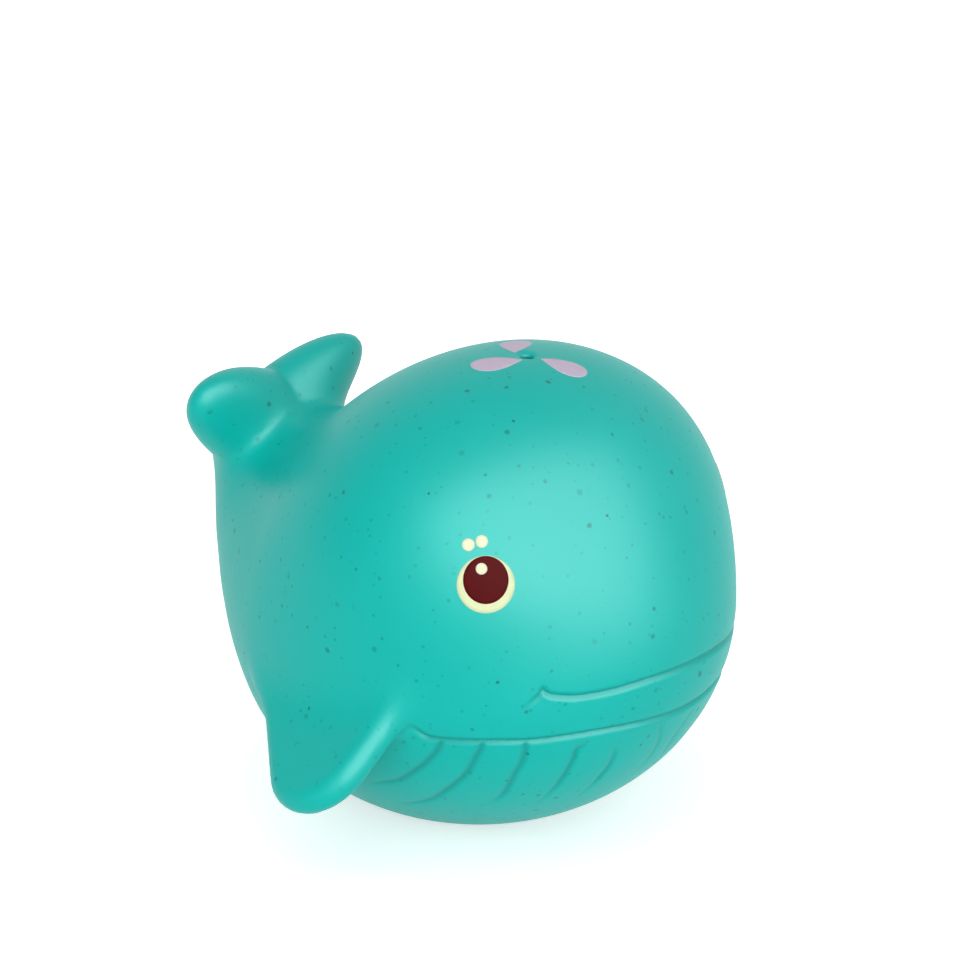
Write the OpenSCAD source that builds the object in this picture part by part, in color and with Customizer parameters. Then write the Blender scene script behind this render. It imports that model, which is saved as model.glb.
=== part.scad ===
// A soft whale for the bath. One hollow moulding makes the head, belly, tail and fins. It squirts through
// the blowhole, squeaks through a plug in its base, and has printed eyes and petals.
// The frame has its origin at the centre of the flat base, +X towards the nose, +Y to the left, +Z up.

/* [Head] */
// Length of the head's egg shape
head_length = 57.7; // [50:0.1:62]
// Width of the head
head_width = 72.1; // [66:0.1:78]
// Height of the head
head_height = 55.3; // [49:0.1:61]
// How far the head's centre lies in front of the base's centre
head_fwd = 10.6; // [5:0.05:12]
// Height of the head's centre above the base
head_up = 45.2; // [42:0.05:50]

/* [Belly] */
// Length of the belly's egg shape
belly_length = 67.3; // [61:0.1:73]
// Width of the belly
belly_width = 68.3; // [62:0.1:74]
// Height of the belly
belly_height = 65.4; // [59:0.1:71]
// How far the belly's centre lies in front of the base's centre
belly_fwd = 10.65; // [8:0.05:14]
// Height of the belly's centre above the base
belly_up = 34.2; // [31:0.05:39]
// Softness of the join of head and belly
belly_blend = 5; // [1:0.1:9]

/* [Rump and tail] */
// Radius of the rump behind the head
rump_r = 26.5; // [25:0.1:32]
// How far the rump's centre lies behind the base's centre
rump_back = 8.3; // [6:0.1:13]
// Height of the rump's centre
rump_up = 27.4; // [26:0.1:33]
// Radius where the rump turns into the tail
hip_r = 14.8; // [11:0.1:18]
// How far that place lies behind the base's centre
hip_back = 23.8; // [20:0.1:28]
// Height of that place
hip_up = 35.1; // [30:0.05:38]
// Radius of the tail where the flukes stand on it
tail_r = 5.95; // [3:0.05:8]
// How far the tail's end lies behind the base's centre
tail_back = 41.6; // [37:0.1:45]
// Height of the tail's end
tail_up = 46.9; // [44:0.05:52]
// Softness of the join of rump and head
rump_blend = 19.9; // [10:0.1:22]
// Softness of the join of tail and back
tail_blend = 13.7; // [11:0.1:17]

/* [Flukes] */
// Length of one fluke, from the middle outwards
fluke_length = 34; // [30:0.1:38]
// Height of one fluke
fluke_height = 15.1; // [11:0.1:18]
// Thickness of one fluke
fluke_thick = 10.3; // [8:0.1:12]
// How far a fluke's centre lies behind the base's centre
fluke_back = 38.7; // [36:0.1:44]
// How far a fluke's centre lies to its side
fluke_side = 3.6; // [2:0.05:6]
// Height of a fluke's centre
fluke_up = 54.1; // [50:0.1:58]
// How many degrees a fluke's tip is raised
fluke_raise = 26.1; // [10:0.1:35]
// How many degrees the flukes lean forward
fluke_lean = 24.6; // [10:0.1:30]
// Softness of the fork between the flukes
fork_blend = 3.5; // [2:0.1:6]

/* [Fins] */
// Front root corner of the left fin
fin_front = [9.05, 28.25, 29.25]; // [-60:0.05:60]
// Rear root corner of the left fin
fin_rear = [-5.35, 26.2, 26.3]; // [-60:0.05:60]
// Tip corner of the left fin
fin_tip = [5.85, 37.4, 19.25]; // [-60:0.05:60]
// Rounding of the fin's outline round its corners
fin_round = 9.8; // [8:0.05:12]
// Thickness of the fin
fin_thick = 4.8; // [4:0.1:6]
// Softness of the join of fin and flank
fin_blend = 4.3; // [3:0.1:7]
// Softness of the tighter join under the fin, beside the belly
fin_crease = 2; // [1:0.1:4]

/* [Shell] */
// Wall of the moulding
wall = 2.5; // [2:0.1:3.2]
// Size of the facets outside
skin_cell = 3; // [2.5:0.1:4]
// Size of the facets inside
core_cell = 5; // [4:0.5:8]
// How much smaller the facets are at the fins and flukes
fine_cell_share = 0.75; // [0.5:0.05:1]

/* [Squeaker] */
// Bore that the squeaker is pressed into
seat_r = 8; // [6.5:0.1:9]
// Wall of the collar round that bore
collar_wall = 2.2; // [1.6:0.1:3]
// Height of the collar above the base
collar_height = 12; // [10:0.5:15]
// Radius of the squeaker's flange
flange_r = 9.6; // [9.2:0.1:10.5]
// Thickness of the flange
flange_thick = 1.2; // [0.8:0.1:2]
// How far the flange is sunk into the base
flange_sunk = 0.5; // [0.2:0.1:1]
// Gap round the flange
flange_gap = 0.2; // [0.1:0.05:0.5]
// Wall of the squeaker's cup
cup_wall = 1.2; // [0.9:0.1:1.6]
// How far the cup's barb stands out over the collar
barb_out = 0.8; // [0.4:0.1:1.2]
// Height of the barb
barb_height = 1.6; // [1:0.1:2.5]
// Radius of the air hole in the cup's floor
air_hole_r = 1.5; // [1:0.1:2]
// Thickness of the disc that carries the reed's channel
bed_thick = 2; // [1.5:0.1:3]
// Outer radius of the half-round channel
channel_r = 2.8; // [2.3:0.1:3.2]
// Wall of the channel
channel_wall = 0.8; // [0.6:0.1:1]
// Length of the channel below its disc
channel_length = 7; // [5:0.5:8]
// Width of the reed
reed_width = 4.4; // [3.6:0.1:5]
// Thickness of the reed
reed_thick = 0.15; // [0.1:0.05:0.3]
// Gap between the reed at rest and the channel's face
reed_gap = 0.45; // [0.3:0.05:0.7]
// Play of the reed on each side in its slot
reed_play = 0.12; // [0.1:0.01:0.2]
// Thickness of the wedge that closes the slot behind the reed
wedge_thick = 1.6; // [1.2:0.1:2]
// How much thinner the wedge is at its lower end
wedge_taper = 0.3; // [0.1:0.05:0.6]

/* [Blowhole and petals] */
// Radius of the blowhole
blow_r = 1; // [0.7:0.1:1.5]
// Radius of the dimple round it
dimple_r = 1.5; // [1.2:0.1:2.2]
// Depth of the dimple
dimple_depth = 0.4; // [0.2:0.1:0.8]
// How far the blowhole lies in front of the base's centre
blow_fwd = 13.5; // [9:0.1:17]
// Distance from the blowhole's centre to a petal's point
petal_start = 2.3; // [1.9:0.1:3]
// Distance from the blowhole's centre to a petal's round end
petal_reach = 8.8; // [6:0.1:10]
// Directions of the three petals' points, in degrees from the nose
petal_point_turns = [17, 193, 289]; // [0:1:359]
// Directions of their round ends
petal_end_turns = [24, 136, 243]; // [0:1:359]
// Greatest width of a petal
petal_width = 4.3; // [2:0.1:6]
// How far a petal's middle bows to one side
petal_bow = 0.4; // [0:0.1:1.5]

/* [Eyes] */
// How far the eyes' centres lie in front of the base's centre
eye_fwd = 28.7; // [23:0.1:34]
// Height of the eyes' centres
eye_up = 48.2; // [41:0.1:55]
// Diameter of the pale eye disc
eye_white_d = 8.3; // [7:0.1:10]
// Width of the brown iris
iris_width = 6.5; // [5:0.1:7.5]
// Height of the brown iris
iris_height = 6.9; // [5:0.1:7.8]
// How far the iris lies above the eye's centre
iris_rise = 0.65; // [0:0.05:1]
// Diameter of the pale glint
glint_d = 1.65; // [1:0.05:2.4]
// How far the glint lies behind the eye's centre
glint_back = 0.6; // [0:0.05:1.2]
// How far the glint lies above the eye's centre
glint_rise = 2.3; // [1:0.1:3]
// Diameter of a brow dot
dot_d = 1.8; // [1.2:0.05:2.4]
// How far the rear and front brow dots lie behind the eye's centre
dot_back = [2.4, 0.5]; // [0:0.05:4]
// How far they lie above the eye's centre
dot_rise = [5.7, 6.15]; // [5:0.05:8]
// Thickness of a printed film
film = 0.15; // [0.1:0.01:0.3]
// Gap under a printed film
film_gap = 0.04; // [0.03:0.01:0.1]

/* [Hidden] */

// Facets of a round cut, and points round a big and a small film
fine = 96;
film_points = 28;
dot_points = 20;
// How far out the rings of points in a film lie, from its middle to its edge
film_shares = [1 / 3, 2 / 3, 1];
petal_shares = [1 / 2, 1];
dot_shares = [1];
overrun = wall;

head_at = [head_fwd, 0, head_up];
head_half = [head_length, head_width, head_height] / 2;
belly_at = [belly_fwd, 0, belly_up];
belly_half = [belly_length, belly_width, belly_height] / 2;
rump_at = [-rump_back, 0, rump_up];
hip_at = [-hip_back, 0, hip_up];
tail_at = [-tail_back, 0, tail_up];
fluke_at = [-fluke_back, fluke_side, fluke_up];
fluke_half = [fluke_thick, fluke_length, fluke_height] / 2;

// The fin lies in the plane of its three corners, with one axis along the root
fin_along = (fin_rear - fin_front) / norm(fin_rear - fin_front);
fin_cross = cross(fin_along, fin_tip - fin_front);
fin_out = fin_cross / norm(fin_cross);
fin_down = cross(fin_out, fin_along);
fin_corners = [for (c = [fin_front, fin_rear, fin_tip])
    [(c - fin_front) * fin_along, (c - fin_front) * fin_down]];

// Balls that hold the whole tail and the whole left fin
tail_mid = (hip_at + fluke_at) / 2;
tail_reach = norm(fluke_at - hip_at) / 2 + fluke_length / 2 + hip_r;
fin_mid = (fin_front + fin_rear + fin_tip) / 3;
fin_reach = max([for (c = [fin_front, fin_rear, fin_tip]) norm(c - fin_mid)]) + fin_round;

// Distance to an egg shape round the origin, negative inside
function egg(p, half) =
    let(a = norm([p.x / half.x, p.y / half.y, p.z / half.z]),
        b = norm([p.x / half.x / half.x, p.y / half.y / half.y, p.z / half.z / half.z]))
    b > 0 ? a * (a - 1) / b : -min(half);

// Distance to a cone with round ends at a and b
function round_cone(p, a, b, ra, rb) =
    let(ab = b - a, len2 = ab * ab, dr = ra - rb, side2 = len2 - dr * dr,
        ap = p - a, y = ap * ab, z = y - len2, off = ap * len2 - ab * y,
        x2 = off * off, y2 = y * y * len2, z2 = z * z * len2, k = sign(dr) * dr * dr * x2)
    sign(z) * side2 * z2 > k ? sqrt(x2 + z2) / len2 - rb
    : sign(y) * side2 * y2 < k ? sqrt(x2 + y2) / len2 - ra
    : (sqrt(x2 * side2 / len2) + y * dr) / len2 - ra;

// The smaller of two distances, with a soft fillet where they meet
function melt(a, b, soft) = let(h = max(soft - abs(a - b), 0) / soft) min(a, b) - h * h * soft / 4;

function trunk(p) =
    melt(
        melt(egg(p - head_at, head_half), egg(p - belly_at, belly_half), belly_blend),
        round_cone(p, rump_at, hip_at, rump_r, hip_r),
        rump_blend);

function fluke(p) =
    let(s = [p.x, abs(p.y), p.z] - fluke_at,
        x = s.x * cos(fluke_lean) - s.z * sin(fluke_lean),
        rise = s.x * sin(fluke_lean) + s.z * cos(fluke_lean),
        y = s.y * cos(fluke_raise) + rise * sin(fluke_raise),
        z = rise * cos(fluke_raise) - s.y * sin(fluke_raise))
    egg([x, y, z], fluke_half);

function tail(p) = melt(round_cone(p, hip_at, tail_at, hip_r, tail_r), fluke(p), fork_blend);

function to_edge(q, a, b) =
    let(e = b - a, w = q - a, h = min(max((w * e) / (e * e), 0), 1)) norm(w - e * h);
function left_of(q, a, b) = (b.x - a.x) * (q.y - a.y) - (b.y - a.y) * (q.x - a.x);

// A plate with a round edge: its outline runs fin_round outside its corners and edges
function fin(p) =
    let(s = [p.x, abs(p.y), p.z] - fin_front,
        q = [s * fin_along, s * fin_down],
        a = fin_corners[0], b = fin_corners[1], c = fin_corners[2],
        sides = [left_of(q, a, b), left_of(q, b, c), left_of(q, c, a)],
        d = min(sides) >= 0 || max(sides) <= 0 ? 0
            : min(to_edge(q, a, b), to_edge(q, b, c), to_edge(q, c, a)),
        half = fin_thick / 2)
    norm([max(d - fin_round + half, 0), s * fin_out]) - half;

// The join is soft above the fin and tighter below it
function fin_soft(p) =
    let(under = ([p.x, abs(p.y), p.z] - fin_front) * fin_out / fin_thick + 1 / 2)
    fin_blend + (fin_crease - fin_blend) * min(max(under, 0), 1);

// Distance to the whole whale; the tail and fins count only near the balls that hold them
function whale(p) =
    let(body = trunk(p),
        with_tail = norm(p - tail_mid) - tail_reach > body + tail_blend ? body
            : melt(body, tail(p), tail_blend))
    norm([p.x, abs(p.y), p.z] - fin_mid) - fin_reach > with_tail + fin_blend ? with_tail
    : melt(with_tail, fin(p), fin_soft(p));

// Distance to the trunk and the root of the tail, which are hollow inside
function hollow(p) = melt(trunk(p), round_cone(p, hip_at, tail_at, hip_r, tail_r), tail_blend);

// Slope of a distance at p
probe = film;
function slope(p, shape) =
    let(o = shape(p))
    [shape(p + [probe, 0, 0]) - o, shape(p + [0, probe, 0]) - o, shape(p + [0, 0, probe]) - o] / probe;
function outward(p) = let(g = slope(p, function(q) whale(q))) g / norm(g);

// Moves p along dir until it lies at the given distance from the skin
function settle(p, dir, level, steps = 5) =
    steps == 0 ? p
    : let(o = whale(p) - level, rate = (whale(p + dir * probe) - o - level) / probe)
        settle(p - dir * o / rate, dir, level, steps - 1);

// The box that the skin lies in
room = rump_blend / 2 + skin_cell;
box_lo = [-fluke_back - fluke_height / 2 - fluke_thick / 2 - room,
    0,
    min(head_up - head_half.z, belly_up - belly_half.z, rump_up - rump_r, fin_tip.z - fin_round) - room];
box_hi = [max(head_fwd + head_half.x, belly_fwd + belly_half.x) + room,
    max(head_half.y, belly_half.y, fin_tip.y + fin_round, fluke_side + fluke_half.y) + room,
    max(head_up + head_half.z, fluke_up + fluke_half.y) + room];

// Grid lines from low to high, with finer steps from fine_low to fine_high
function lines(low, high, cell, fine_low, fine_high) =
    [for (v = low; v < high + cell;
        v = v + cell * (v > fine_low && v < fine_high ? fine_cell_share : 1)) v];

// A closed skin of small facets where a shape's distance is zero. Each cell of a grid that the skin
// passes through gives one point, moved onto the skin, and each grid edge that it crosses gives one face.
module skin(shape, cell) {
    xs = lines(box_lo.x, box_hi.x, cell, box_lo.x, fluke_thick - fluke_back);
    ys = lines(0, box_hi.y, cell, fin_rear.y, box_hi.y);
    zs = lines(box_lo.z, box_hi.z, cell, fin_tip.z - fin_round, fin_front.z + fin_thick);
    n = [len(xs) - 1, len(ys) - 1, len(zs) - 1];
    function spot(i, j, k) = [xs[i], sign(j) * ys[abs(j)], zs[k]];
    // A coarse grid first, so that the fine one is worked out only near the skin
    stride = 2;
    near_share = 1.1;
    near = cell * stride * near_share;
    m = [for (i = [0:2]) ceil(n[i] / stride)];
    coarse = [for (i = [0:m.x]) [for (j = [0:m.y]) [for (k = [0:m.z])
        shape(spot(min(i * stride, n.x), min(j * stride, n.y), min(k * stride, n.z)))]]];
    values = [for (i = [0:n.x]) [for (j = [0:n.y]) [for (k = [0:n.z])
        let(g = coarse[round(i / stride)][round(j / stride)][round(k / stride)])
        abs(g) > near ? g : shape(spot(i, j, k))]]];
    function value(i, j, k) = values[i][abs(j)][k];
    function inside(i, j, k) = value(i, j, k) < 0 ? 1 : 0;
    function corners(i, j, k) =
        inside(i, j, k) + inside(i + 1, j, k)
        + inside(i, j + 1, k) + inside(i + 1, j + 1, k)
        + inside(i, j, k + 1) + inside(i + 1, j, k + 1)
        + inside(i, j + 1, k + 1) + inside(i + 1, j + 1, k + 1);
    cells = [for (i = [0:n.x - 1]) for (j = [-n.y:n.y - 1]) for (k = [0:n.z - 1])
        let(c = corners(i, j, k)) c > 0 && c < 8];
    before = [for (t = 0, s = 0; t < len(cells); s = s + (cells[t] ? 1 : 0), t = t + 1) s];
    function slot(i, j, k) = (i * 2 * n.y + j + n.y) * n.z + k;
    function at(i, j, k) = before[slot(i, j, k)];
    function crossing(i, j, k, step) =
        let(a = value(i, j, k), b = value(i + step.x, j + step.y, k + step.z))
        (a < 0) == (b < 0) ? []
        : [spot(i, j, k) + (spot(i + step.x, j + step.y, k + step.z) - spot(i, j, k)) * a / (a - b)];
    points = [for (i = [0:n.x - 1]) for (j = [-n.y:n.y - 1]) for (k = [0:n.z - 1])
        if (cells[slot(i, j, k)])
            let(cuts = [for (a = [0, 1]) for (b = [0, 1]) each concat(
                    crossing(i, j + a, k + b, [1, 0, 0]),
                    crossing(i + a, j, k + b, [0, 1, 0]),
                    crossing(i + a, j + b, k, [0, 0, 1]))],
                p = [for (c = cuts) 1] * cuts / len(cuts),
                g = slope(p, shape))
            p - g * shape(p) / (g * g)];
    function face(a, b, c, d, turned) = turned ? [[c, b, a], [d, c, a]] : [[a, b, c], [a, c, d]];
    faces = [for (i = [0:n.x - 1]) for (j = [-n.y:n.y - 1]) for (k = [0:n.z - 1])
        let(o = inside(i, j, k)) each concat(
            j > -n.y && k > 0 && o != inside(i + 1, j, k)
                ? face(at(i, j - 1, k - 1), at(i, j, k - 1), at(i, j, k), at(i, j - 1, k), o == 1) : [],
            i > 0 && k > 0 && o != inside(i, j + 1, k)
                ? face(at(i - 1, j, k - 1), at(i - 1, j, k), at(i, j, k), at(i, j, k - 1), o == 1) : [],
            i > 0 && j > -n.y && o != inside(i, j, k + 1)
                ? face(at(i - 1, j - 1, k), at(i, j - 1, k), at(i, j, k), at(i - 1, j, k), o == 1) : [])];
    polyhedron(points, faces);
}

collar_r = seat_r + collar_wall;
flange_seat_r = flange_r + flange_gap;
flange_top = flange_sunk + flange_thick;
crown = head_up + head_half.z;
blow_top = settle([blow_fwd, 0, crown], [0, 0, 1], 0).z;

module whale_body() {
    // The dimple is the bottom of a ball
    dimple_ball_r = (dimple_r * dimple_r + dimple_depth * dimple_depth) / 2 / dimple_depth;
    color([0, 0.71, 0.67])
    difference() {
        skin(function(p) whale(p), skin_cell);
        // Flat underside
        translate([-belly_length, -belly_width, -belly_height])
            cube([2 * belly_length, 2 * belly_width, belly_height]);
        // Water chamber, round the collar
        difference() {
            skin(function(p) hollow(p) + wall, core_cell);
            translate([-belly_length, -belly_width, wall + flange_top - belly_height])
                cube([2 * belly_length, 2 * belly_width, belly_height]);
            cylinder(h = collar_height, r = collar_r, $fn = fine);
        }
        // Bore and recess for the squeaker
        translate([0, 0, -overrun]) cylinder(h = collar_height + 2 * overrun, r = seat_r, $fn = fine);
        translate([0, 0, -overrun]) cylinder(h = overrun + flange_top, r = flange_seat_r, $fn = fine);
        // Blowhole and its dimple
        translate([blow_fwd, 0, blow_top - 2 * wall]) cylinder(h = 3 * wall, r = blow_r, $fn = fine);
        translate([blow_fwd, 0, blow_top - dimple_depth + dimple_ball_r])
            sphere(r = dimple_ball_r, $fn = fine);
    }
}

// The squeaker's cup, from its flange in the base up through the collar
cup_inside_r = seat_r - cup_wall;
module squeaker_cup() {
    barb_up = collar_height + film_gap;
    rim_up = barb_up + barb_height;
    color([0.93, 0.93, 0.9])
    rotate_extrude($fn = fine)
        polygon([
            [air_hole_r, flange_sunk],
            [flange_r, flange_sunk],
            [flange_r, flange_top],
            [seat_r, flange_top],
            [seat_r, barb_up],
            [seat_r + barb_out, barb_up],
            [seat_r - cup_wall / 2, rim_up],
            [cup_inside_r, rim_up],
            [cup_inside_r, flange_top],
            [air_hole_r, flange_top]]);
}

// The disc in the cup's mouth, with a half-round channel hanging from it. The channel's open face is at
// x = 0, and the reed stands in front of it in a slot that a wedge closes.
bed_low = collar_height - bed_thick;
channel_low = bed_low - channel_length;
slot_start = reed_gap - reed_play;
wedge_start = reed_gap + reed_thick + reed_play;
slot_end = wedge_start + wedge_thick;
module squeaker_reed_bed() {
    module half_round(low, high, r) {
        intersection() {
            translate([0, 0, low]) cylinder(h = high - low, r = r, $fn = fine);
            translate([-2 * r, -r, low]) cube([2 * r, 2 * r, high - low]);
        }
    }
    color([0.86, 0.86, 0.83])
    difference() {
        union() {
            translate([0, 0, bed_low]) cylinder(h = bed_thick, r = cup_inside_r, $fn = fine);
            half_round(channel_low, bed_low + bed_thick / 2, channel_r);
        }
        half_round(channel_low + channel_wall, collar_height + overrun, channel_r - channel_wall);
        translate([slot_start, -reed_width / 2 - reed_play, bed_low - overrun])
            cube([slot_end - slot_start, reed_width + 2 * reed_play, bed_thick + 2 * overrun]);
    }
}

module squeaker_reed() {
    color([0.75, 0.78, 0.8])
    translate([reed_gap, -reed_width / 2, channel_low])
        cube([reed_thick, reed_width, bed_thick + channel_length]);
}

module squeaker_wedge() {
    half_width = reed_width / 2 + reed_play;
    color([0.9, 0.9, 0.87])
    translate([0, half_width, 0])
    rotate([90, 0, 0])
    linear_extrude(2 * half_width)
        polygon([
            [wedge_start, collar_height],
            [wedge_start + wedge_taper, bed_low - wedge_thick],
            [slot_end, bed_low - wedge_thick],
            [slot_end, collar_height]]);
}

// A thin film on the skin. Copies of its outline, drawn in towards the middle, are laid on the skin along
// the direction across a and b, once for its lower side and once for its upper side.
module on_skin(outline, middle, shares, centre, a, b, level) {
    across = cross(a, b);
    count = len(outline);
    flat = [middle, for (s = shares) for (q = outline) middle + (q - middle) * s];
    m = len(flat);
    function laid(height) = [for (q = flat) settle(centre + a * q.x + b * q.y, across, height)];
    function ring(r, i) = 1 + r * count + i % count;
    sheet = [
        for (i = [0:count - 1]) [0, ring(0, i + 1), ring(0, i)],
        for (r = [0:1:len(shares) - 2]) for (i = [0:count - 1])
            each [
                [ring(r, i + 1), ring(r + 1, i + 1), ring(r + 1, i)],
                [ring(r, i + 1), ring(r + 1, i), ring(r, i)]]];
    edge = len(shares) - 1;
    rim = [for (i = [0:count - 1]) each [
        [m + ring(edge, i), m + ring(edge, i + 1), ring(edge, i + 1)],
        [m + ring(edge, i), ring(edge, i + 1), ring(edge, i)]]];
    upper = [for (f = sheet) [m + f[0], m + f[1], m + f[2]]];
    lower = [for (f = sheet) [f[2], f[1], f[0]]];
    polyhedron(concat(laid(level), laid(level + film)), concat(upper, lower, rim));
}

function oval(width, height, points) =
    [for (i = [0:points - 1]) [width / 2 * cos(360 * i / points), height / 2 * sin(360 * i / points)]];

// Each petal is a drop shape from its point beside the blowhole to its round end
module blowhole_petals() {
    // A drop is widest at this share of its length, where the product of sines has this peak
    wide_share = 2 / 3;
    peak_share = 4 / 9 * sqrt(3);
    module petal(point, end) {
        length = norm(end - point);
        a = (end - point) / length;
        outline = [for (i = [0:film_points - 1])
            let(t = 360 * i / film_points, along = (1 - cos(t)) / 2)
            [length * along,
                petal_width / 2 * sin(t) * sin(t / 2) / peak_share + petal_bow * sin(180 * along)]];
        middle = [length * wide_share, petal_bow * sin(180 * wide_share)];
        on_skin(outline, middle, petal_shares, [blow_fwd, 0, blow_top] + point, a, [-a.y, a.x, 0], film_gap);
    }
    color([0.76, 0.70, 0.77])
    for (i = [0:len(petal_end_turns) - 1])
        petal(
            petal_start * [cos(petal_point_turns[i]), sin(petal_point_turns[i]), 0],
            petal_reach * [cos(petal_end_turns[i]), sin(petal_end_turns[i]), 0]);
}

// The right eye's middle on the skin, and the directions forwards and upwards there
eye_at = settle([eye_fwd, -head_half.y, eye_up], [0, -1, 0], 0);
eye_out = outward(eye_at);
eye_forward = [-eye_out.y, eye_out.x, 0] / norm([eye_out.x, eye_out.y]);
eye_upward = cross(eye_out, eye_forward);
module right_oval(width, height, points, shares, move, level) {
    outline = [for (q = oval(width, height, points)) q + move];
    on_skin(outline, move, shares, eye_at, eye_forward, eye_upward, level);
}

// Films that overlap lie on each other
iris_level = 2 * film_gap + film;
glint_level = 3 * film_gap + 2 * film;

module right_eye_white() {
    color([0.92, 0.96, 0.78])
    right_oval(eye_white_d, eye_white_d, film_points, film_shares, [0, 0], film_gap);
}

module right_eye_iris() {
    color([0.37, 0.12, 0.12])
    right_oval(iris_width, iris_height, film_points, film_shares, [0, iris_rise], iris_level);
}

module right_eye_glint() {
    color([0.97, 0.98, 0.86])
    right_oval(glint_d, glint_d, dot_points, dot_shares, [-glint_back, glint_rise], glint_level);
}

module right_brow_dots() {
    color([0.97, 0.98, 0.86])
    for (i = [0:len(dot_back) - 1])
        right_oval(dot_d, dot_d, dot_points, dot_shares, [-dot_back[i], dot_rise[i]], film_gap);
}

module left_eye_white() {
    mirror([0, 1, 0]) right_eye_white();
}

module left_eye_iris() {
    mirror([0, 1, 0]) right_eye_iris();
}

module left_eye_glint() {
    mirror([0, 1, 0]) right_eye_glint();
}

module left_brow_dots() {
    mirror([0, 1, 0]) right_brow_dots();
}

whale_body();
squeaker_cup();
squeaker_reed_bed();
squeaker_reed();
squeaker_wedge();
blowhole_petals();
right_eye_white();
right_eye_iris();
right_eye_glint();
right_brow_dots();
left_eye_white();
left_eye_iris();
left_eye_glint();
left_brow_dots();
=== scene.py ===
"""A soft whale for the bath: hollow, with a blowhole that squirts and a squeaker in its base.

Lengths in the shape functions are in millimetres, in the part's own frame: +X nose, +Y left, +Z up.
"""

import math

import bmesh
import bpy
import numpy as np
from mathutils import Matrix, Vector


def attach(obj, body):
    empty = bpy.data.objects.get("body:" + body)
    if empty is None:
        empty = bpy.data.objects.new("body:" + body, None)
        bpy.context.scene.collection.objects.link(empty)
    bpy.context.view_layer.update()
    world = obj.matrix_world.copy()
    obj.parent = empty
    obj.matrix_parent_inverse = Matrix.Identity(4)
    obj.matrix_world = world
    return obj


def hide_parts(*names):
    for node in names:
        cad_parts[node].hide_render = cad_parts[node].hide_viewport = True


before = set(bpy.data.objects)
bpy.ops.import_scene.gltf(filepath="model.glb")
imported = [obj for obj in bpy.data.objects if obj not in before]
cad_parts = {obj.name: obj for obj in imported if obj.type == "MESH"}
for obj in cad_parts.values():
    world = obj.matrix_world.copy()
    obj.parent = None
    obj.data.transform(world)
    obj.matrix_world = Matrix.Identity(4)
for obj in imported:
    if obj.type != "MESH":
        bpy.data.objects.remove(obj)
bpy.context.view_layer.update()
MM = 0.001

# Head, belly, rump and tail
HEAD_AT, HEAD_HALF = np.array([10.6, 0, 45.2]), np.array([28.85, 36.05, 27.65])
BELLY_AT, BELLY_HALF = np.array([10.65, 0, 34.2]), np.array([33.65, 34.15, 32.7])
RUMP_AT, RUMP_R = np.array([-8.3, 0, 27.4]), 26.5
HIP_AT, HIP_R = np.array([-23.8, 0, 35.1]), 14.8
TAIL_AT, TAIL_R = np.array([-41.6, 0, 46.9]), 5.95
BELLY_BLEND, RUMP_BLEND, TAIL_BLEND = 5.0, 19.9, 13.7

# Flukes and fins
FLUKE_AT, FLUKE_HALF = np.array([-38.7, 3.6, 54.1]), np.array([5.15, 17.0, 7.55])
FLUKE_RAISE, FLUKE_LEAN = math.radians(26.1), math.radians(24.6)
FORK_BLEND = 3.5
FIN_FRONT, FIN_REAR = np.array([9.05, 28.25, 29.25]), np.array([-5.35, 26.2, 26.3])
FIN_TIP = np.array([5.85, 37.4, 19.25])
FIN_ROUND, FIN_HALF, FIN_BLEND, FIN_CREASE = 9.8, 2.4, 4.3, 2.0

# Wall, base and blowhole, and how soft their edges are
WALL = 2.5
COLLAR_R, COLLAR_HEIGHT, SEAT_R = 10.2, 12.0, 8.0
FLANGE_SEAT_R, FLANGE_TOP = 9.8, 1.7
BLOW_FWD, BLOW_R, DIMPLE_R, DIMPLE_DEPTH = 13.5, 1.0, 1.5, 0.4
BASE_SOFT, DIMPLE_SOFT, HOLE_SOFT = 1.2, 0.5, 0.3

# Net that the body's skin is made from
NET_LOW, NET_HIGH = (-50, -47.5, -1.5), (46.5, 47.5, 75)
NET_CELL = 0.95
# How far round a carved line, an edge or the blowhole's surround each refinement of the skin reaches
DETAIL_REACHES = (2.2, 1.3)
# Radius of the blowhole's surround, and the depth to which it counts
BLOW_DETAIL_R, BLOW_DETAIL_DEPTH = 2.2, 4
# A point of the skin this deep is on the chamber's wall, which loses this share of its faces
CHAMBER_DEPTH, CHAMBER_THINNING = 1.8, 0.85

# Printed films, and the places of the eye's films forwards and upwards from the eye's middle
FILM, FILM_GAP = 0.04, 0.01
EYE_FWD, EYE_UP = 28.7, 48.2
EYE_WHITE_WIDTH = 8.3
IRIS_WIDTH, IRIS_HEIGHT, IRIS_AT = 6.5, 6.9, (0, 0.65)
GLINT_WIDTH, GLINT_AT = 1.65, (-0.6, 2.3)
DOT_WIDTH, REAR_DOT_AT, FRONT_DOT_AT = 1.8, (-2.4, 5.7), (-0.5, 6.15)
# Points round a large and a small film, and rings of points across it
LARGE_POINTS, LARGE_RINGS = 96, 8
SMALL_POINTS, SMALL_RINGS = 48, 3

# Petals: distance of point and end from the blowhole's middle, width, and bow of the middle line
PETAL_START, PETAL_REACH, PETAL_WIDTH, PETAL_BOW = 2.1, 9.1, 4.8, 0.4
# For each petal the way to its point and to its end, in degrees, and the side it bows to
PETAL_TURNS = ((17, 24, -1), (193, 136, 1), (289, 243, 1))


# Distances to the whale's forms. Each function takes rows of points and is negative inside.
def egg(p, at, half):
    """Distance to an ellipsoid's skin, close to true near it."""
    a = np.linalg.norm((p - at) / half, axis=1)
    b = np.linalg.norm((p - at) / half**2, axis=1)
    return a * (a - 1) / np.maximum(b, 1e-9)


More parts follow.
